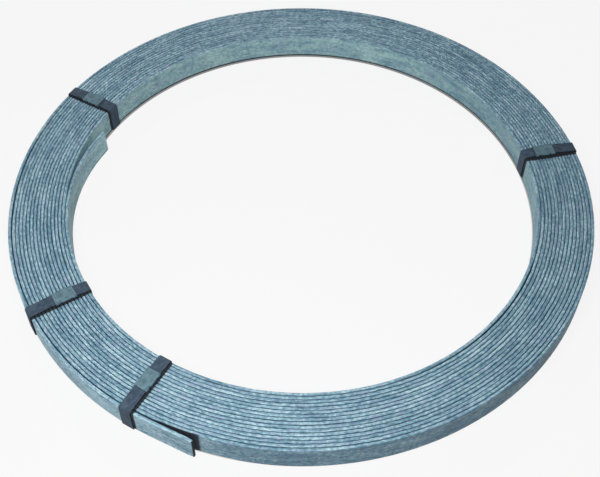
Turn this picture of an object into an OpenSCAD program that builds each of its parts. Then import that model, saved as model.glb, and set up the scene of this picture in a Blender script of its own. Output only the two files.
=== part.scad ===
// Coil of galvanised steel strip, tied with four steel straps.
// The strip stands on edge and is wound outwards, turn on turn, from the eye to its outer end.
// The origin is on the coil's axis, at the floor, with +Z up. Directions are degrees
// anticlockwise from +X, seen from above. "Back" is an angle back along the winding from
// where the outer end springs off the coil.

/* [Strip] */
// Width of the strip, upright in the coil
strip_w = 30; // [20:1:60]
// Thickness of the strip
strip_t = 3.5; // [2.5:0.1:6]
// Rounding of the strip's rolled edges
edge_r = 1.2; // [0.4:0.1:1.2]

/* [Winding] */
// Diameter of the eye, as the mandrel leaves it
eye_d = 508; // [360:2:700]
// Gap between one turn and the next
turn_gap = 0.25; // [0.15:0.05:0.6]
// Whole turns, all the way round
turns = 16; // [8:1:24]
// Direction in which the outer end springs off the coil
spring_a = 243.5; // [0:0.5:360]

/* [Free ends] */
// Length of the straight outer end
outer_tail = 48; // [20:1:60]
// Angle back to where the inner end comes off the wall of the eye
inner_spring = 53.5; // [44:0.5:80]
// Length of the curled inner end
inner_tail = 137; // [60:1:170]
// How much tighter than the eye the inner end is curled
inner_curl = 54; // [30:1:80]
// Length of the inner end that is let into the winding
let_in = 0.5; // [0.2:0.1:1]
// How much slimmer the inner end is on each side, to join the winding all round
let_in_step = 0.02; // [0.01:0.01:0.05]

/* [Straps] */
// Width of the strapping
strap_w = 13; // [12:0.5:20]
// Thickness of the strapping
strap_t = 0.6; // [0.4:0.05:1]
// How far the loose straps stand off the coil's walls and upper edges
strap_slack = 0.8; // [0.1:0.1:2.5]
// Height of a strap's lower end over the coil, in the seal
lap_rise = 1.6; // [1.4:0.1:4]
// Gap between the two ends of a strap where they overlap
lap_gap = 0.1; // [0.05:0.05:0.2]
// Length of strap that shows past each end of its seal
strap_end = 1.5; // [1:0.5:6]
// Angle back to the front strap
front_strap = 4.3; // [3:0.1:14]
// Angle back to the left strap
left_strap = 32; // [20:0.5:40]
// Angle back to the rear strap
rear_strap = 93; // [85:0.5:150]
// Angle back to the right strap
right_strap = 232; // [200:0.5:330]

/* [Seals] */
// Length of a seal along its strap
seal_len = 22; // [16:0.5:28]
// Sheet thickness of the seals
seal_t = 0.8; // [0.5:0.05:1.2]
// Clearance between a seal and the upper strap end in it
seal_fit = 0.1; // [0.05:0.05:0.3]
// Slot between the two lips folded under the strap
lip_slot = 4; // [2:0.5:8]
// Inside radius of a seal's folds
fold_r = 0.3; // [0.2:0.05:0.6]
// Radius of the crimper's notches
notch_r = 2.2; // [1.2:0.1:3]
// Depth of a notch into the strap's edge
notch_depth = 0.8; // [0.4:0.1:2.5]
// Distance between the two notches along a seal
notch_pitch = 11; // [8:0.5:12]
// Distance of the front seal from the middle of the turns, towards the eye
front_seal_in = 3.5; // [-8:0.5:8]
// Distance of the left seal from the middle of the turns, towards the eye
left_seal_in = 6.5; // [-8:0.5:8]
// Distance of the rear seal from the middle of the turns, towards the eye
rear_seal_in = 3; // [-8:0.5:8]
// Distance of the right seal from the middle of the turns, towards the eye
right_seal_in = 6.5; // [-8:0.5:8]

/* [Hidden] */

$fn = 180;
edge_steps = 3;
bend_steps = 4;
fold_steps = 4;

pitch = strip_t + turn_gap;
eye_r = eye_d / 2;
half_turn = 180;

// The winding is drawn with its outer end springing off at +X. The near half turns about the
// origin and the far half about a centre half a pitch away, so that each half turn meets the
// next one and every whole turn steps out by one pitch.
far_half_r = eye_r + pitch / 2;
far_half_centre = [-pitch / 2, 0, 0];

// The two halves meet in short arcs, which close the seam between them cleanly.
short_arc = 1;

// The coil lies on the straps that pass under it.
coil_z = strap_t;
coil_top = coil_z + strip_w;

// Levels inside a seal: the two strap ends lie on its lips.
low_end_z = coil_top + lap_rise;
seal_z = low_end_z - seal_t;
high_end_z = low_end_z + strap_t + lap_gap;
seal_top = high_end_z + strap_t + seal_fit + seal_t;
lap = seal_len + 2 * strap_end;

zinc_grey = [0.50, 0.58, 0.61];
strap_blue = [0.24, 0.27, 0.32];
seal_grey = [0.46, 0.53, 0.52];

function on_near_half(back) = back < half_turn;
function inside_r(back) =
    on_near_half(back) ? eye_r + (back > inner_spring ? pitch : 0) : far_half_r;
function outside_r(back) =
    (on_near_half(back) ? eye_r + turns * pitch : far_half_r + (turns - 1) * pitch) + strip_t;
function middle_r(back) = (inside_r(back) + outside_r(back)) / 2;

// Points on an arc about c, from angle a0 to angle a1.
function arc(c, r, a0, a1, steps) =
    [for (i = [0:steps]) let (a = a0 + (a1 - a0) * i / steps) c + r * [cos(a), sin(a)]];

// Rounded upper edge of one layer of strip whose inner face is at radius r, slimmer by inset.
function upper_edge(r, inset) = let (z = coil_top - edge_r) concat(
    arc([r + edge_r, z], edge_r - inset, 180, 90, edge_steps),
    arc([r + strip_t - edge_r, z], edge_r - inset, 90, 0, edge_steps));

// Section through layers first to last, joined below the rounded edges. Layer 0 starts at r0.
module layers(r0, first, last, inset = 0) {
    upper = [for (k = [first:last]) each upper_edge(r0 + k * pitch, inset)];
    lower = [for (i = [len(upper) - 1:-1:0]) [upper[i].x, coil_z + coil_top - upper[i].y]];
    polygon(concat(upper, lower));
}

// Arc of the near half between two angles back.
module near_arc(first, back_from, back_to) {
    rotate_extrude(angle = back_from - back_to, start = -back_from)
        layers(eye_r, first, turns);
}

// Arc of the far half between two angles on from the spring.
module far_arc(from, to) {
    translate(far_half_centre)
        rotate_extrude(angle = to - from, start = from)
            layers(far_half_r, 0, turns - 1);
}

// The outer end leaves the coil straight, along the tangent.
module outer_end() {
    translate([0, outer_tail, 0])
        rotate([90, 0, 0])
            linear_extrude(height = outer_tail)
                layers(eye_r, turns, turns);
}

// The inner end keeps a tighter curl than the eye and stands away from its wall.
module inner_end() {
    curl_r = eye_r - inner_curl;
    per_mm = 180 / PI / (curl_r + strip_t / 2);
    rotate([0, 0, -inner_spring])
        translate([inner_curl, 0, 0])
            rotate_extrude(angle = (inner_tail + let_in) * per_mm, start = -inner_tail * per_mm)
                layers(curl_r, 0, 0, let_in_step);
}

module coil() {
    color(zinc_grey)
        rotate([0, 0, spring_a])
            union() {
                near_arc(1, half_turn, half_turn - short_arc);
                near_arc(1, half_turn - short_arc, inner_spring);
                near_arc(0, inner_spring, short_arc);
                near_arc(0, short_arc, 0);
                far_arc(0, short_arc);
                far_arc(short_arc, half_turn - short_arc);
                far_arc(half_turn - short_arc, half_turn);
                outer_end();
                inner_end();
            }
}

// Frame of a strap: X out from the centre of its half of the winding, Z up.
module at_strap(back) {
    rotate([0, 0, spring_a])
        translate(on_near_half(back) ? [0, 0, 0] : far_half_centre)
            rotate([0, 0, -back])
                children();
}

// Line of a strap round the section of the coil, moved out from its inner face by off.
// It runs from the low end, down through the eye, under the coil and up to the high end.
function strap_line(back, seal_x, off) = let (
    // A flat strap comes nearest to the round wall of the eye at the strap's two edges
    x_in = sqrt(pow(inside_r(back), 2) - pow(strap_w / 2, 2)) + edge_r,
    x_out = outside_r(back) - edge_r,
    z_low = coil_z + edge_r,
    z_high = coil_top - edge_r,
    r_low = edge_r + off,
    r_high = edge_r + strap_slack + off
) concat(
    [[seal_x + lap / 2, low_end_z + off], [seal_x - lap / 2, low_end_z + off]],
    arc([x_in, z_high], r_high, 90, 180, bend_steps),
    arc([x_in - strap_slack, z_low], r_low, 180, 270, bend_steps),
    arc([x_out + strap_slack, z_low], r_low, 270, 360, bend_steps),
    arc([x_out, z_high], r_high, 0, 90, bend_steps),
    [[seal_x + lap / 2, high_end_z + off], [seal_x - lap / 2, high_end_z + off]]
);

// Notches that the crimper cuts into both edges of a seal and of the strap ends in it.
module notches(seal_x) {
    for (end = [-1, 1], side = [-1, 1])
        translate([
            seal_x + end * notch_pitch / 2,
            side * (strap_w / 2 + notch_r - notch_depth),
            seal_z - strap_t,
        ])
            cylinder(h = seal_top - seal_z + 2 * strap_t, r = notch_r);
}

module strap(back, seal_in) {
    seal_x = middle_r(back) - seal_in;
    inner = strap_line(back, seal_x, 0);
    outer = strap_line(back, seal_x, strap_t);
    color(strap_blue)
        at_strap(back)
            difference() {
                rotate([90, 0, 0])
                    linear_extrude(height = strap_w, center = true)
                        polygon(concat(inner, [for (i = [len(outer) - 1:-1:0]) outer[i]]));
                notches(seal_x);
            }
}

// Rectangle with rounded corners, centred on y = 0 and standing on z.
module folded_outline(w, z, h, r) {
    y = w / 2 - r;
    polygon(concat(
        arc([y, z + r], r, 270, 360, fold_steps),
        arc([y, z + h - r], r, 0, 90, fold_steps),
        arc([-y, z + h - r], r, 90, 180, fold_steps),
        arc([-y, z + r], r, 180, 270, fold_steps)));
}

// A seal is a sheet steel sleeve folded round both strap ends, with its lips under them.
module seal(back, seal_in) {
    seal_x = middle_r(back) - seal_in;
    inside_w = strap_w + 2 * fold_r;
    inside_h = seal_top - seal_t - low_end_z;
    color(seal_grey)
        at_strap(back)
            difference() {
                translate([seal_x - seal_len / 2, 0, 0])
                    rotate([90, 0, 90])
                        linear_extrude(height = seal_len)
                            difference() {
                                folded_outline(inside_w + 2 * seal_t, seal_z,
                                    seal_top - seal_z, fold_r + seal_t);
                                folded_outline(inside_w, low_end_z, inside_h, fold_r);
                                translate([-lip_slot / 2, seal_z - seal_t])
                                    square([lip_slot, 2 * seal_t + strap_t]);
                            }
                notches(seal_x);
            }
}

module front_strap_band() { strap(front_strap, front_seal_in); }
module front_strap_seal() { seal(front_strap, front_seal_in); }
module left_strap_band() { strap(left_strap, left_seal_in); }
module left_strap_seal() { seal(left_strap, left_seal_in); }
module rear_strap_band() { strap(rear_strap, rear_seal_in); }
module rear_strap_seal() { seal(rear_strap, rear_seal_in); }
module right_strap_band() { strap(right_strap, right_seal_in); }
module right_strap_seal() { seal(right_strap, right_seal_in); }

coil();
front_strap_band();
front_strap_seal();
left_strap_band();
left_strap_seal();
rear_strap_band();
rear_strap_seal();
right_strap_band();
right_strap_seal();
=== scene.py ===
import bpy
import math
import numpy as np
from mathutils import Matrix, Vector


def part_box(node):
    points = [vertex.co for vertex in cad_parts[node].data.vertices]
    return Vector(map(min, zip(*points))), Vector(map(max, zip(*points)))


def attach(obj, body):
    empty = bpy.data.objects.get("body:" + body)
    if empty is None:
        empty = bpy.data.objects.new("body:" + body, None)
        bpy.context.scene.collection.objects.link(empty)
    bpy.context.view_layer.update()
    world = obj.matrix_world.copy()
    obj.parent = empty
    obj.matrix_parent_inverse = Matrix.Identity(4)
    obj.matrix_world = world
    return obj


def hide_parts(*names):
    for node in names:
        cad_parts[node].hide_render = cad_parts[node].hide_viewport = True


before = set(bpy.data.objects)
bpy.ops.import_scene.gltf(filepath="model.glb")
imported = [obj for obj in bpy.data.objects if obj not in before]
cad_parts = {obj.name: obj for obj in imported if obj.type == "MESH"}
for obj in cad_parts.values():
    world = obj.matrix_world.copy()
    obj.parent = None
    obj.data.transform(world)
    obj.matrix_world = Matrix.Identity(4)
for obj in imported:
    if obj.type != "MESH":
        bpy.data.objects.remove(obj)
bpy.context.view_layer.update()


# The strip: one length of flat steel with rolled, rounded edges, hot-dip galvanised.
# It stands on edge and is wound outwards from the eye. Its inner end keeps a tighter curl
# than the eye, and its outer end springs straight off the coil, past the front strap.

coil_low, coil_high = (np.array(corner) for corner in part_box("coil"))
coil_top = float(coil_high[2])
coil_foot = float(coil_low[2])
STRIP_W = coil_top - coil_foot
STRIP_T = 0.0035
EDGE_R = 0.0012
END_CHAMFER = 0.0004
EYE_R = 0.254
PITCH = 0.00375
TURNS = 16
SPRING = math.radians(243.5)
INNER_SPRING = math.radians(53.5)
INNER_TAIL = 0.137
INNER_CURL = 0.054
OUTER_TAIL = 0.048
STATIONS_PER_TURN = 180
TAIL_STEP = 0.006
CORNER_STEPS = 4

# Radii of the eye's wall past the inner end, of the outer tail's inner face and of the rim
WALL_R = EYE_R + PITCH
TAIL_R = EYE_R + TURNS * PITCH
RIM_R = TAIL_R + STRIP_T

# Angle back along the winding from the springing of the outer end to each strap
STRAP_BACK = {"front": math.radians(4.3), "left": math.radians(32),
              "rear": math.radians(93), "right": math.radians(232)}

# How far turns stand apart, where they do, and how far they lie out of line and of level
LOOSE_GAP = 0.0008
WANDER = 0.00005
SETTLE = 0.00032

# Where the winding is loose: the share of the gap, then two directions and a ramp in degrees.
# The strip within this many turns of its loose end stays in place, and the rest keeps away
LOOSE_OUTSIDE = ((0.55, 160, 256, 10), (0.55, 166, 184, 8), (0.70, 241, 256, 3))
LOOSE_INSIDE = ((1.0, 296, 332, 12),)
LOOSE_TURNS = 0.7

# How near a strap, and for how many turns from an end, the turns are held in place
HELD_NEAR, HELD_FAR = math.radians(2), math.radians(14)
HELD_TURNS = 0.2

# Shortest and longest wave of the wander and the settling in metres, and how many waves
WANDER_WAVES = (0.15, 1.3, 7)
SETTLE_WAVES = (0.3, 2.9, 9)

# Where another turn begins and stops to cover the strip on its outer and its inner side, as
# ramps in turns: the first of each pair runs from the start of the winding, the second from
# the springing of the outer end
COVER_OUTSIDE = ((-0.03, 0.0), (-0.983, -0.973))
COVER_INSIDE = ((0.98, 1.0), (0.025, 0.05))


def smooth_step(x, start, end):
    """Rises from 0 at start to 1 at end along a cubic with flat ends."""
    t = np.clip((x - start) / (end - start), 0.0, 1.0)
    return t * t * (3 - 2 * t)


def between_directions(angle, start, end, ramp):
    """1 between two directions in degrees, falling smoothly to 0 over ramp degrees outside."""
    degrees = np.degrees(angle) % 360
    return smooth_step(degrees, start - ramp, start) * (1 - smooth_step(degrees, end, end + ramp))


def waves(x, shortest, longest, count, rng):
    """Sum of sine waves of x, with seeded phases and lengths from shortest to longest."""
    lengths = np.geomspace(shortest, longest, count)
    phases = rng.uniform(0, 2 * np.pi, count)
    return np.sin(2 * np.pi * x[:, None] / lengths + phases).sum(axis=1) / math.sqrt(count)


def level(xy, z=0.0):
    """Adds a height to points or directions given by x and y."""
    return np.concatenate([xy, np.full((len(xy), 1), z)], axis=1)


def compass(angle):
    """Unit vectors, x and y, at these angles."""
    return np.stack([np.cos(angle), np.sin(angle)], axis=-1)


def rounded_section(half_out, half_up, edge_r, inset):
    """Rounded rectangle as (out, up) offsets for each station: four quarter circles about
    fixed centres, with the edge radius less the station's inset, and the circles' normals."""
    quarter = np.linspace(0, np.pi / 2, CORNER_STEPS + 1)
    normal = compass((np.arange(4)[:, None] * np.pi / 2 + quarter).ravel())
    corner = np.repeat([[1, 1], [-1, 1], [-1, -1], [1, -1]], CORNER_STEPS + 1, axis=0)
    core = corner * np.array([half_out - edge_r, half_up - edge_r])
    return core[None] + (edge_r - inset)[:, None, None] * normal[None], normal


def carried(name, middle, out, up, offset, section_normal=None, gap_shade=None):
    """Object made by carrying a closed section along a path: point (i, j) is the middle of
    station i plus offset (i, j) along that station's out and up. The ends are capped. U runs
    along the path and V round the section, both in metres. Gap shade is painted shade, a
    value for each point."""
    points = middle[:, None] + offset[:, :, :1] * out[:, None] + offset[:, :, 1:] * up[:, None]
    stations, around = points.shape[:2]
    ring = np.arange(around)
    start = np.arange(stations - 1)[:, None] * around
    following = (ring + 1) % around
    quads = np.stack([start + ring, start + around + ring, start + around + following,
                      start + following], axis=2).reshape(-1, 4)
    last = (stations - 1) * around
    mesh = bpy.data.meshes.new(name)
    mesh.from_pydata(points.reshape(-1, 3), [],
                     quads.tolist() + [ring.tolist(), (last + ring[::-1]).tolist()])
    mesh.shade_smooth()

    length = np.concatenate([[0], np.cumsum(np.linalg.norm(np.diff(middle, axis=0), axis=1))])
    section = offset[stations // 2]
    girth = np.cumsum(np.linalg.norm(np.roll(section, -1, axis=0) - section, axis=1))
    girth = np.concatenate([[0], girth])
    u = length[np.arange(stations - 1)[:, None, None] + np.array([0, 1, 1, 0])]
    v = girth[ring[:, None] + np.array([0, 0, 1, 1])][None]
    side_uv = np.stack(np.broadcast_arrays(u, v), axis=3).reshape(-1, 2)
    beyond = np.array([girth[-1], 0])
    uv = np.concatenate([side_uv, offset[0] - beyond,
                         offset[-1][::-1] + [length[-1], 0] + beyond])
    layer = mesh.uv_layers.new(name="UVMap")
    layer.uv.foreach_set("vector", uv.astype(np.float32).ravel())

    if section_normal is not None:
        normal = section_normal[:, :1] * out[:, None] + section_normal[:, 1:] * up[:, None]
        along = np.cross(up, out)[[0, -1]] * np.array([[-1], [1]])
        mesh.normals_split_custom_set(np.concatenate([normal.reshape(-1, 3)[quads.ravel()],
                                                      np.repeat(along, around, axis=0)]))
    if gap_shade is not None:
        mesh.attributes.new("gap_shade", "FLOAT", "POINT").data.foreach_set("value", gap_shade.ravel())
    piece = bpy.data.objects.new(name, mesh)
    bpy.context.scene.collection.objects.link(piece)
    return piece


def strip_path():
    """Stations from the inner end to the outer end: the centre that each turns about, the
    direction out from it, the radius of the strip's middle and the turns run so far. Half
    turn h, counted from the outside, has its inner face at the eye's radius plus turns - h / 2
    pitches. It turns about the axis where h is even, and half a pitch aside where it is odd."""
    whole = TURNS * 2 * np.pi + INNER_SPRING
    back = np.linspace(whole, 0, round(whole / (2 * np.pi) * STATIONS_PER_TURN) + 1)
    half = np.minimum(np.floor(back / np.pi), 2 * TURNS)
    radius = EYE_R + (TURNS - half / 2) * PITCH + STRIP_T / 2
    centre = np.stack([np.where(half % 2 == 1, -PITCH / 2, 0.0), np.zeros_like(back)], axis=1)

    curl_r = EYE_R - INNER_CURL + STRIP_T / 2
    curl_steps = round(INNER_TAIL / TAIL_STEP)
    curl_back = INNER_SPRING + np.linspace(INNER_TAIL / curl_r, 0, curl_steps, endpoint=False)
    curl_centre = np.tile(INNER_CURL * compass(-INNER_SPRING), (curl_steps, 1))
    run_out = np.linspace(0, OUTER_TAIL, round(OUTER_TAIL / TAIL_STEP) + 1)[1:]
    straight = np.stack([np.zeros_like(run_out), run_out], axis=1)

    direction = SPRING - np.concatenate([curl_back, back, np.zeros_like(run_out)])
    radius = np.concatenate([np.full(curl_steps, curl_r), radius,
                             np.full(len(run_out), radius[-1])])
    angle_back = np.concatenate([curl_back + TURNS * 2 * np.pi, back, -run_out / EYE_R])
    turn = TURNS - angle_back / (2 * np.pi)
    centre = np.concatenate([curl_centre, centre, straight])
    cos_a, sin_a = math.cos(SPRING), math.sin(SPRING)
    return centre @ np.array([[cos_a, sin_a], [-sin_a, cos_a]]), direction, radius, turn


def wound_strip():
    """The rounded section carried along the path. The turns wander a little in and out and
    out of level, except at the straps. Behind the outer turn on the left, and behind the
    inner turn at the front right, the winding is loose and the others keep away from it.
    Gap shade, a painted shade, is 1 deep between two turns and 0 on top and on the open walls."""
    rng = np.random.default_rng(11)
    centre, direction, radius, turn = strip_path()
    run = np.concatenate([[0], np.cumsum(radius[1:] * np.diff(turn) * 2 * np.pi)])
    loose_outside, loose_inside = (
        sum(share * between_directions(direction, *span) for share, *span in spans)
        for spans in (LOOSE_OUTSIDE, LOOSE_INSIDE))
    shift = LOOSE_GAP * (loose_inside * (turn > LOOSE_TURNS) * (TURNS - turn) / TURNS
                         - loose_outside * (turn < TURNS - LOOSE_TURNS) * turn / TURNS)

    held = np.ones_like(direction)
    for strap_back in STRAP_BACK.values():
        aside = np.abs((direction - SPRING + strap_back + np.pi) % (2 * np.pi) - np.pi)
        held *= smooth_step(aside, HELD_NEAR, HELD_FAR)
    held *= smooth_step(turn, 0.0, HELD_TURNS)
    held *= 1 - smooth_step(turn, TURNS - HELD_TURNS, TURNS)
    shift += WANDER * held * waves(run, *WANDER_WAVES, rng)
    sunk = SETTLE * held * (0.5 + 0.5 * np.clip(waves(run, *SETTLE_WAVES, rng), -1, 1))

    inset = np.zeros_like(radius)
    inset[[0, -1]] = END_CHAMFER
    offset, section_normal = rounded_section(STRIP_T / 2, STRIP_W / 2, EDGE_R, inset)
    out = compass(direction)
    middle = level(centre + (radius + shift)[:, None] * out, coil_foot + STRIP_W / 2)
    middle[:, 2] -= sunk
    up = np.tile([0.0, 0.0, 1.0], (len(middle), 1))
    from_start, from_spring = turn + INNER_SPRING / (2 * np.pi), turn - TURNS
    covered_outside, covered_inside = (
        smooth_step(from_start, *begins) * (1 - smooth_step(from_spring, *stops))
        for begins, stops in (COVER_OUTSIDE, COVER_INSIDE))
    covered = np.where(section_normal[:, 0] > 0, covered_outside[:, None], covered_inside[:, None])
    # Painted shade between the turns: 1 on the faces that another turn covers
    gap_shade = covered * (1 - np.abs(section_normal[:, 1]))
    return carried("wound_strip", middle, level(out), up, offset, section_normal, gap_shade)


class Value:
    """A socket of a shader's node tree. Python arithmetic on it adds Math nodes."""

    def __init__(self, tree, socket=None):
        self.tree = tree
        self.socket = socket

    def node(self, kind, settings=None, sockets=None, output=0):
        """Adds a node of this type, sets its settings, then the values or links of its sockets."""
        made = self.tree.nodes.new(kind)
        for key, setting in (settings or {}).items():
            setattr(made, key, setting)
        for key, given in (sockets or {}).items():
            if isinstance(given, Value):
                self.tree.links.new(given.socket, made.inputs[key])
            else:
                made.inputs[key].default_value = given
        return Value(self.tree, made.outputs[output])

    def math(self, operation, *given):
        """Adds a Math node with this operation on these values."""
        return self.node("ShaderNodeMath", {"operation": operation}, dict(enumerate(given)))

    def __add__(self, other):
        return self.math("ADD", self, other)

    __radd__ = __add__

    def __mul__(self, other):
        return self.math("MULTIPLY", self, other)

    __rmul__ = __mul__

    def __sub__(self, other):
        return self.math("SUBTRACT", self, other)

    def __rsub__(self, other):
        return self.math("SUBTRACT", other, self)

    def size(self):
        """The value without its sign."""
        return self.math("ABSOLUTE", self)

    def past(self, low, high):
        """0 below low, 1 above high, smooth between."""
        return self.node("ShaderNodeMapRange", {"interpolation_type": "SMOOTHSTEP"},
                         {"Value": self, "From Min": low, "From Max": high})

    def blend(self, first, second):
        """Mixes two colours, with this value as the share of the second. The Mix node's inputs
        6 and 7 and its output 2 are those for colours."""
        colours = [given if isinstance(given, Value) else (*given, 1.0)
                   for given in (first, second)]
        return self.node("ShaderNodeMix", {"data_type": "RGBA"},
                         {0: self, 6: colours[0], 7: colours[1]}, output=2)

    def noise(self, size, stretch=1.0, detail=2.0, roughness=0.5):
        """Smooth noise on this vector, in blots about size metres wide, longer along X by
        stretch."""
        scaled = self.node("ShaderNodeMapping", {},
                           {"Vector": self, "Scale": (1 / (size * stretch), 1 / size, 1 / size)})
        return self.node("ShaderNodeTexNoise", {}, {"Vector": scaled, "Scale": 1.0,
                                                    "Detail": detail, "Roughness": roughness})


def metal_finish(name, metallic, gloss=0.5):
    """New material: returns it, its Principled shader, and its tree for Value expressions."""
    material = bpy.data.materials.new(name)
    material.use_nodes = True
    shader = material.node_tree.nodes["Principled BSDF"]
    shader.inputs["Metallic"].default_value = metallic
    shader.inputs["Specular IOR Level"].default_value = gloss
    return material, shader, Value(material.node_tree)


def feed(shader, **values):
    """Links values to the shader's sockets, named with _ for the space."""
    for key, value in values.items():
        value.tree.links.new(value.socket, shader.inputs[key.replace("_", " ")])


ZINC_DARK = (0.056, 0.140, 0.215)
ZINC_MID = (0.197, 0.356, 0.436)
ZINC_PALE = (0.500, 0.670, 0.730)
ZINC_LILAC = (0.290, 0.360, 0.520)
ZINC_GREEN = (0.390, 0.600, 0.580)
# Painted highlight on the outer wall at the left, and cleaner zinc at the inner end
ZINC_CLEAN_AND_LIT = (0.460, 0.690, 0.790)
# Colour of the painted shade between the turns
GAP_SHADE = (0.010, 0.041, 0.078)
SPECK = (0.040, 0.062, 0.075)
# Colour of all the painted black shadows: beside the straps, on the cut end, behind it, at the
# eye's foot
PAINTED_SHADOW = (0.010, 0.013, 0.018)

# Patterns: width of a blot in metres, stretch along the strip, detail and roughness
ZINC_CLOUDS = (0.010, 4, 3.0, 0.55)
ZINC_STREAKS = (0.0018, 30)
ZINC_GRAIN = (0.0024, 1.8, 3.0, 0.6)
LILAC_FLECKS = (0.004, 3)
LILAC_BLOOM = (0.014, 2)
# Breaks up the painted shade between the turns
PATCHY_SHADE = (0.006, 1.5, 3.0, 0.6)
DARK_BLOTS = (0.007, 1, 3.0, 0.6)
DARK_SPECKS = (0.0030, 1.5, 1.0, 0.4)

# Where the finish, the painted shade and the painted highlight change, as smooth rises in
# metres: along x or y, up from the coil's foot, out from the eye, the tail's inner face or the
# rim, or past the outer end
SHADED_EYE_X = (0.08, 0.22)
LIT_RIM_X = (-0.17, -0.08)
BARE_FROM_EYE = (-0.008, 0.0)
BACK_Y = (-0.12, 0.20)
OUTER_FACE = (-STRIP_T / 3, -STRIP_T / 6)
NEXT_WALL_PAST = (0.0, 0.03)
SHADED_CUT_FROM_TAIL = (-0.0013, -0.0005)
SHADED_CUT_PAST = (-0.0012, -0.0004)
TAIL_SHADOW_FROM_RIM = ((-0.0058, -0.0053), (-0.0041, -0.0037))
TAIL_SHADOW_PAST = ((-0.045, -0.035), (0.0008, 0.0036))
FOOT_SHADOW_UP = (0.0018, 0.0030)
FOOT_SHADOW_Y = (0.0, 0.10)

# The painted shadows along the straps reach a little past them, set towards the viewer
STRAP_W = 0.013
STRAP_SHADOW_MARGIN = 0.0020
STRAP_SHADOW_HALF = STRAP_W / 2 + STRAP_SHADOW_MARGIN
STRAP_SHADOW_EDGE = 0.0006
STRAP_SHADOW_ASIDE = 0.0010


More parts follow.
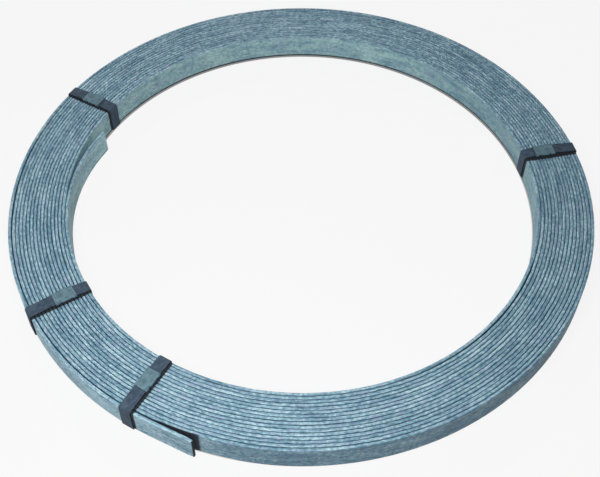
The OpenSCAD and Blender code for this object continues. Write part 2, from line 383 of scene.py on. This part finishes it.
def hot_dip_zinc():
    """Dull zinc. Clouds, streaks and grain, drawn out along the strip, run from dark to pale
    blue-grey with lilac flecks. The eye's wall is greener and mottled, with painted shade on
    the right. The outer wall has painted shade past the outer end, and a painted highlight on
    the left, and the inner end is cleaner. Painted shade lies between the turns, and dark spots
    are thicker at the back. Painted black shadows lie along the straps, on the cut outer end
    and on the wall behind it, and at the back along the eye's foot."""
    material, shader, new = metal_finish("hot_dip_zinc", metallic=0.15)
    strip = new.node("ShaderNodeUVMap", {"uv_map": "UVMap"})
    place = new.node("ShaderNodeTexCoord", output="Object")
    x, y, z = [new.node("ShaderNodeSeparateXYZ", {}, {"Vector": place}, output=axis)
               for axis in "XYZ"]

    radius = new.math("SQRT", x * x + y * y)
    from_rim = radius - RIM_R
    cos_a, sin_a = compass(SPRING).tolist()
    outward = x * cos_a + y * sin_a
    past_end = y * cos_a - x * sin_a - OUTER_TAIL
    behind = y.past(*BACK_Y)
    eye_wall = 1 - radius.past(WALL_R + STRIP_T / 8, WALL_R + STRIP_T / 3)
    eye_wall = eye_wall * (1 - z.past(coil_top - EDGE_R, coil_top - EDGE_R / 4))
    rim_wall = from_rim.past(*OUTER_FACE)
    from_next = from_rim + outward * (PITCH / 2 / RIM_R) + PITCH / 2
    next_wall = from_next.past(*OUTER_FACE) * past_end.past(*NEXT_WALL_PAST)

    clouds = strip.noise(*ZINC_CLOUDS)
    grain = strip.noise(*ZINC_GRAIN)
    tone = clouds * 0.26 + strip.noise(*ZINC_STREAKS) * 0.26 + grain * 0.48
    colour = tone.past(0.36, 0.54).blend(ZINC_DARK, ZINC_MID)
    colour = (tone.past(0.48, 0.62) * 0.8).blend(colour, ZINC_PALE)
    flecks = strip.noise(*LILAC_FLECKS).past(0.50, 0.68)
    colour = (flecks * 0.5).blend(colour, ZINC_LILAC)

    mottle = clouds * 0.6 + grain * 0.4
    greener = mottle.past(0.36, 0.60).blend(ZINC_MID, ZINC_GREEN)
    colour = (eye_wall * 0.75).blend(colour, greener)
    bloom = strip.noise(*LILAC_BLOOM).past(0.54, 0.68)
    colour = (eye_wall * bloom * 0.4).blend(colour, ZINC_LILAC)
    # Painted shade: the eye's wall darker on the right, and the outer wall past the outer end
    # darker
    painted_wall_shade = eye_wall * x.past(*SHADED_EYE_X) * 0.3 + next_wall * (1 - mottle) * 0.78
    colour = painted_wall_shade.blend(colour, ZINC_DARK)
    # Painted highlight on the outer wall at the left, and cleaner zinc at the inner end
    inner_end = 1 - (radius - EYE_R).past(*BARE_FROM_EYE)
    lit_rim_and_clean_end = rim_wall * (1 - x.past(*LIT_RIM_X)) + inner_end
    colour = (lit_rim_and_clean_end * tone.past(0.34, 0.60) * 0.5).blend(colour, ZINC_CLEAN_AND_LIT)

    # Painted shade between the turns, patchy and weaker at the back
    gap_shade = new.node("ShaderNodeAttribute", {"attribute_name": "gap_shade"}, output="Fac")
    patchy = 0.6 + strip.noise(*PATCHY_SHADE).past(0.40, 0.62) * 0.4
    colour = (gap_shade.past(0.02, 0.7) * (0.9 - behind * 0.55) * patchy).blend(colour, GAP_SHADE)
    spotted = (0.3 + behind * 0.25 + next_wall * 0.4) * (1 - eye_wall * 0.2)
    blots = place.noise(*DARK_BLOTS).past(0.46, 0.68)
    colour = (blots * spotted * 0.8).blend(colour, ZINC_DARK)
    specks = strip.noise(*DARK_SPECKS).past(0.64, 0.74)
    colour = (specks * spotted).blend(colour, SPECK)

    # Painted black shade on the cut outer end
    shaded_cut_face = (outward - TAIL_R).past(*SHADED_CUT_FROM_TAIL) * past_end.past(*SHADED_CUT_PAST)
    # Painted shadow on the wall behind the outer end
    tail_shadow = outward.past(0.0, EYE_R) * 0.94
    for across, (begins, stops) in ((from_rim, TAIL_SHADOW_FROM_RIM), (past_end, TAIL_SHADOW_PAST)):
        tail_shadow = tail_shadow * across.past(*begins) * (1 - across.past(*stops))
    # Painted shadow along the foot of the eye's wall, at the back
    foot_shadow = eye_wall * (1 - (z - coil_foot).past(*FOOT_SHADOW_UP)) * y.past(*FOOT_SHADOW_Y) * 0.9
    painted_shadows = shaded_cut_face + tail_shadow + foot_shadow
    # Painted shadows beside each strap, set towards the viewer
    for strap_back in STRAP_BACK.values():
        cos_a, sin_a = compass(SPRING - strap_back).tolist()
        along = y * cos_a - x * sin_a + math.copysign(STRAP_SHADOW_ASIDE, cos_a)
        strap_shadow = 1 - along.size().past(STRAP_SHADOW_HALF - STRAP_SHADOW_EDGE, STRAP_SHADOW_HALF + STRAP_SHADOW_EDGE)
        painted_shadows = painted_shadows + strap_shadow * (x * cos_a + y * sin_a).past(0.0, EYE_R / 2)
    painted_shadows = new.math("MINIMUM", painted_shadows, 1.0)
    colour = (painted_shadows * 0.97).blend(colour, PAINTED_SHADOW)

    bump = new.node("ShaderNodeBump", {}, {"Strength": 0.3, "Distance": 0.0003,
                                           "Height": grain * 0.6 + clouds * 0.4})
    feed(shader, Base_Color=colour, Roughness=0.72 - tone * 0.2 + painted_shadows * 0.25, Normal=bump)
    return material


strip = wound_strip()
strip.data.materials.append(hot_dip_zinc())
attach(strip, "root")
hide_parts("coil")


# The four straps: blue-black steel strapping, bent by hand round the section of the coil.
# Each is one flat band that stands a little off the coil; its two ends lie one over the
# other on top, and the seal holds them.

STRAP_T = 0.0006
STRAP_EDGE_R = 0.0002
STRAP_SLACK = 0.0008
LAP_RISE = 0.0016
LAP_GAP = 0.0001
STRAP_END = 0.0015
SEAL_LEN = 0.022
SEAL_IN = {"front": 0.0035, "left": 0.0065, "rear": 0.003, "right": 0.0065}
BEND_STEPS = 10
RUN_STEPS = 14
STRAP_BLUE = (0.030, 0.050, 0.076)
STRAP_WORN = (0.064, 0.096, 0.136)
STRAP_SCUFFS = (0.0010, 6, 3.0, 0.6)
STRAP_HAZE = (0.006, 2)
low_end_z = coil_top + LAP_RISE
high_end_z = low_end_z + STRAP_T + LAP_GAP


def strap_place(name):
    """Where a strap crosses the winding: the centre of that half turn, the strap's three
    axes (out, along the winding, up), and the inside and outside radii of the turns there."""
    strap_back = STRAP_BACK[name]
    near = strap_back < np.pi
    centre = np.zeros(3) if near else level(-PITCH / 2 * compass(np.array([SPRING])))[0]
    first = (PITCH if strap_back > INNER_SPRING else 0.0) if near else PITCH / 2
    last = (TURNS if near else TURNS - 0.5) * PITCH + STRIP_T
    axes = np.eye(3)
    axes[0, :2] = compass(SPRING - strap_back)
    axes[1, :2] = compass(SPRING - strap_back + np.pi / 2)
    return centre, axes, EYE_R + first, EYE_R + last


def seal_middle(name):
    """Radius of the middle of a strap's seal."""
    inside, outside = strap_place(name)[2:]
    return (inside + outside) / 2 - SEAL_IN[name]


def bend(x, z, radius, start):
    """Quarter circle about (x, z), from this angle in degrees on."""
    return [x, z] + radius * compass(np.radians(np.linspace(start, start + 90, BEND_STEPS + 1)))


def ramp(x0, z0, x1, z1):
    """Run from one point to another that leaves and arrives level, along a cubic."""
    x = np.linspace(x0, x1, RUN_STEPS)[1:-1]
    return np.stack([x, z0 + (z1 - z0) * smooth_step((x - x0) / (x1 - x0), 0, 1)], axis=1)


def strap_band(name):
    """A flat section with rounded edges carried along the strap's line: from the lower end on
    top, down through the eye, under the coil, up the outside and on to the upper end."""
    centre, axes, inside, outside = strap_place(name)
    middle_x = seal_middle(name)
    lap_in, lap_out = middle_x + np.array([-1, 1]) * (SEAL_LEN / 2 + STRAP_END)
    x_in = math.sqrt(inside ** 2 - (STRAP_W / 2) ** 2) + EDGE_R
    x_out = outside - EDGE_R
    low_r = EDGE_R + STRAP_T / 2
    high_r = low_r + STRAP_SLACK
    over = coil_top + STRAP_SLACK + STRAP_T / 2
    low_lap, high_lap = low_end_z + STRAP_T / 2, high_end_z + STRAP_T / 2
    line = np.concatenate([
        [[lap_out, low_lap], [middle_x, low_lap], [lap_in, low_lap]],
        ramp(lap_in, low_lap, x_in, over),
        bend(x_in, coil_top - EDGE_R, high_r, 90),
        bend(x_in - STRAP_SLACK, coil_foot + EDGE_R, low_r, 180),
        bend(x_out + STRAP_SLACK, coil_foot + EDGE_R, low_r, 270),
        bend(x_out, coil_top - EDGE_R, high_r, 0),
        ramp(x_out, over, lap_out, high_lap),
        [[lap_out, high_lap], [middle_x, high_lap], [lap_in, high_lap]],
    ])
    run = np.gradient(line, axis=0)
    run /= np.linalg.norm(run, axis=1, keepdims=True)
    middle = centre + line[:, :1] * axes[0] + line[:, 1:] * axes[2]
    out = run[:, :1] * axes[2] - run[:, 1:] * axes[0]
    up = np.tile(axes[1], (len(line), 1))
    inset = np.zeros(len(line))
    offset, section_normal = rounded_section(STRAP_T / 2, STRAP_W / 2, STRAP_EDGE_R, inset)
    return carried(name + "_strap", middle, out, up, offset, section_normal)


def blued_steel():
    """Blue-black heat finish, with scuffs along the band that lighten it."""
    material, shader, new = metal_finish("blued_steel", metallic=0.1, gloss=0.2)
    band = new.node("ShaderNodeUVMap", {"uv_map": "UVMap"})
    scuffs = band.noise(*STRAP_SCUFFS)
    tone = scuffs * 0.6 + band.noise(*STRAP_HAZE) * 0.4
    colour = tone.past(0.38, 0.62).blend(STRAP_BLUE, STRAP_WORN)
    bump = new.node("ShaderNodeBump", {}, {"Strength": 0.15, "Distance": 0.0002,
                                           "Height": scuffs})
    feed(shader, Base_Color=colour, Roughness=0.60 + scuffs * 0.2, Normal=bump)
    return material


strap_finish = blued_steel()
for strap_name in STRAP_BACK:
    band = strap_band(strap_name)
    band.data.materials.append(strap_finish)
    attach(band, "root")
    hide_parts(strap_name + "_strap_band")


# The four seals: short sleeves of zinc plated sheet steel, folded round both ends of a
# strap with their lips underneath, and crimped with a pair of dents in each edge.

SEAL_T = 0.0008
SEAL_FIT = 0.0001
LIP_SLOT = 0.004
FOLD_R = 0.0003
FOLD_STEPS = 5
DENT_DEPTH = 0.0007
DENT_R = 0.0026
DENT_PITCH = 0.011
SEAL_STEP = 0.0005
SHARP_FOLD = math.radians(40)
SEAL_DARK = (0.070, 0.128, 0.158)
SEAL_PALE = (0.132, 0.225, 0.270)
SEAL_CLOUDS = (0.004, 1.5, 3.0, 0.6)
SEAL_GRAIN = (0.0008, 2)


def folded_sheet():
    """Closed outline of the folded sheet as (across, up): out along one lip, round the
    outside by quarter circles, and back round the inside, by smaller ones, to the first lip."""
    inner_half = STRAP_W / 2 + FOLD_R
    inner_height = high_end_z + STRAP_T + SEAL_FIT - low_end_z
    quarter = np.linspace(0, np.pi / 2, FOLD_STEPS + 1)
    turned = np.array([3, 0, 1, 2])[:, None] * np.pi / 2 + quarter
    corner = np.array([[1, 0], [1, 1], [-1, 1], [-1, 0]])[:, None]
    core = corner * [inner_half - FOLD_R, inner_height - 2 * FOLD_R] + [0, low_end_z + FOLD_R]
    outside = (core + (FOLD_R + SEAL_T) * compass(turned)).reshape(-1, 2)
    inside = (core + FOLD_R * compass(turned)).reshape(-1, 2)
    lips = np.array([[1, -SEAL_T], [-1, -SEAL_T], [-1, 0], [1, 0]]) * [LIP_SLOT / 2, 1]
    lips = lips + [0, low_end_z]
    return np.concatenate([lips[:1], outside, lips[1:3], inside[::-1], lips[3:]])


def strap_seal(name):
    """The folded outline carried along the strap. Its width dips at two places, by the depth
    of a dent times a smooth bump, so that both edges and the lips are pinched in."""
    centre, axes = strap_place(name)[:2]
    along = np.linspace(-SEAL_LEN / 2, SEAL_LEN / 2, round(SEAL_LEN / SEAL_STEP) + 1)
    dent = 1 - smooth_step(np.abs(np.abs(along) - DENT_PITCH / 2), 0, DENT_R)
    narrow = 1 - DENT_DEPTH * dent / (STRAP_W / 2)
    section = folded_sheet()
    offset = np.stack([section[:, 0] * narrow[:, None],
                       np.broadcast_to(section[:, 1], (len(along), len(section)))], axis=2)
    middle = centre + (seal_middle(name) + along)[:, None] * axes[0]
    out = np.tile(-axes[1], (len(along), 1))
    up = np.tile(axes[2], (len(along), 1))
    piece = carried(name + "_seal", middle, out, up, offset)
    piece.data.set_sharp_from_angle(angle=SHARP_FOLD)
    return piece


def dull_plating():
    """Thin dull zinc plating, clouded, with rubbed dark spots."""
    material, shader, new = metal_finish("dull_plating", metallic=0.15, gloss=0.25)
    sheet = new.node("ShaderNodeUVMap", {"uv_map": "UVMap"})
    clouds = sheet.noise(*SEAL_CLOUDS)
    grain = sheet.noise(*SEAL_GRAIN)
    tone = clouds * 0.6 + grain * 0.4
    colour = tone.past(0.38, 0.60).blend(SEAL_DARK, SEAL_PALE)
    bump = new.node("ShaderNodeBump", {}, {"Strength": 0.15, "Distance": 0.0002,
                                           "Height": grain})
    feed(shader, Base_Color=colour, Roughness=0.58 + clouds * 0.2, Normal=bump)
    return material


seal_finish = dull_plating()
for strap_name in STRAP_BACK:
    seal = strap_seal(strap_name)
    seal.data.materials.append(seal_finish)
    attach(seal, "root")
    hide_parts(strap_name + "_strap_seal")


# The studio: a wide white floor that keeps a soft shadow, under an even white surround. One
# lamp stands far behind and throws the straps' shadows towards the viewer, one hangs over the
# front, and a weak one stands low at the left.

FLOOR_HALF = 30.0
FLOOR_PAINT = (0.45, 0.45, 0.45, 1.0)
WHITE_SHARE = 0.88
SURROUND = 0.18
LAMP_SIDE = 0.4

# The ring of floor without white begins this far inside the eye's wall, and its outer limit
# steps in by a pitch along x, because the last turn ends at the front left
RING_FROM_WALL = (-0.0025, -0.0015)
RING_STEP_X = (-0.17, -0.14)


def seen_directly(new):
    """1 where the viewer, a gloss reflection or a transmitted ray meets the surface, else 0."""
    rays = [new.node("ShaderNodeLightPath", output=name)
            for name in ("Is Camera Ray", "Is Glossy Ray", "Is Transmission Ray")]
    return new.math("MINIMUM", rays[0] + rays[1] + rays[2], 1.0)


def studio_white():
    """Part matt pale paint that takes the shadow, part plain white where it is seen directly.
    The ring of floor under the coil, and a thin line inside the eye, are paint alone, so that
    the shadow shows there and no white shows between turns."""
    material = bpy.data.materials.new("studio_white")
    material.use_nodes = True
    tree = material.node_tree
    tree.nodes.clear()
    new = Value(tree)
    white = new.node("ShaderNodeEmission", {}, {"Strength": 1.0})
    place = new.node("ShaderNodeTexCoord", output="Object")
    x = new.node("ShaderNodeSeparateXYZ", {}, {"Vector": place}, output="X")
    radius = new.node("ShaderNodeVectorMath", {"operation": "LENGTH"}, {0: place}, output="Value")
    stepped_in = PITCH * x.past(*RING_STEP_X)
    under_coil = (radius - WALL_R).past(*RING_FROM_WALL)
    under_coil = under_coil * (1 - (radius + stepped_in).past(RIM_R - STRIP_T / 3, RIM_R))
    paint = new.node("ShaderNodeBsdfDiffuse", {}, {"Color": FLOOR_PAINT})
    share = seen_directly(new) * WHITE_SHARE * (1 - under_coil)
    mixed = new.node("ShaderNodeMixShader", {}, {0: share, 1: paint, 2: white})
    output = tree.nodes.new("ShaderNodeOutputMaterial")
    tree.links.new(mixed.socket, output.inputs["Surface"])
    return material


floor_mesh = bpy.data.meshes.new("studio_floor")
floor_corners = FLOOR_HALF * np.array([[-1, -1, 0], [1, -1, 0], [1, 1, 0], [-1, 1, 0]])
floor_mesh.from_pydata(floor_corners, [], [(0, 1, 2, 3)])
floor_mesh.materials.append(studio_white())
floor = bpy.data.objects.new("studio_floor", floor_mesh)
bpy.context.scene.collection.objects.link(floor)

world = bpy.data.worlds.new("studio_surround")
world.use_nodes = True
background = world.node_tree.nodes["Background"]
background.inputs["Color"].default_value = (1.0, 1.0, 1.0, 1.0)
background.inputs["Strength"].default_value = SURROUND
bpy.context.scene.world = world


def lamp(name, place, power):
    """Square area lamp turned to the coil, with its place in metres and its power in watts."""
    data = bpy.data.lights.new(name, "AREA")
    data.size = LAMP_SIDE
    data.energy = power
    made = bpy.data.objects.new(name, data)
    made.location = place
    made.rotation_euler = (-Vector(place)).to_track_quat("-Z", "Y").to_euler()
    bpy.context.scene.collection.objects.link(made)


lamp("back_lamp", (-1.1, 4.1, 2.6), power=75)
lamp("front_lamp", (-0.14, -0.52, 0.72), power=6.8)
lamp("side_lamp", (-1.3, -0.5, 0.35), power=2)

# The viewer stands in front and looks down on the coil. The lens and the framing are those
# at which the coil fills the picture as it does in the photograph.
VIEW_DISTANCE = 1.1045
VIEW_ELEVATION = math.radians(49.33)
VIEW_ROLL = math.radians(0.12)
IMAGE_W, IMAGE_H = 600, 477
FOCAL_PX = 983.4
AXIS_PX = (301.9, 206.8)

camera_data = bpy.data.cameras.new("viewer")
camera_data.sensor_fit = "HORIZONTAL"
camera_data.lens = FOCAL_PX / IMAGE_W * camera_data.sensor_width
camera_data.shift_x = (IMAGE_W / 2 - AXIS_PX[0]) / IMAGE_W
camera_data.shift_y = (AXIS_PX[1] - IMAGE_H / 2) / IMAGE_W
viewer = bpy.data.objects.new("viewer", camera_data)
turned = Matrix.Rotation(math.pi / 2 - VIEW_ELEVATION, 4, "X")
turned = turned @ Matrix.Rotation(VIEW_ROLL, 4, "Z")
placed = Matrix.Translation((0, -VIEW_DISTANCE * math.cos(VIEW_ELEVATION),
                             VIEW_DISTANCE * math.sin(VIEW_ELEVATION)))
viewer.matrix_world = placed @ turned
bpy.context.scene.collection.objects.link(viewer)
bpy.context.scene.camera = viewer
bpy.context.scene.view_settings.view_transform = "Standard"
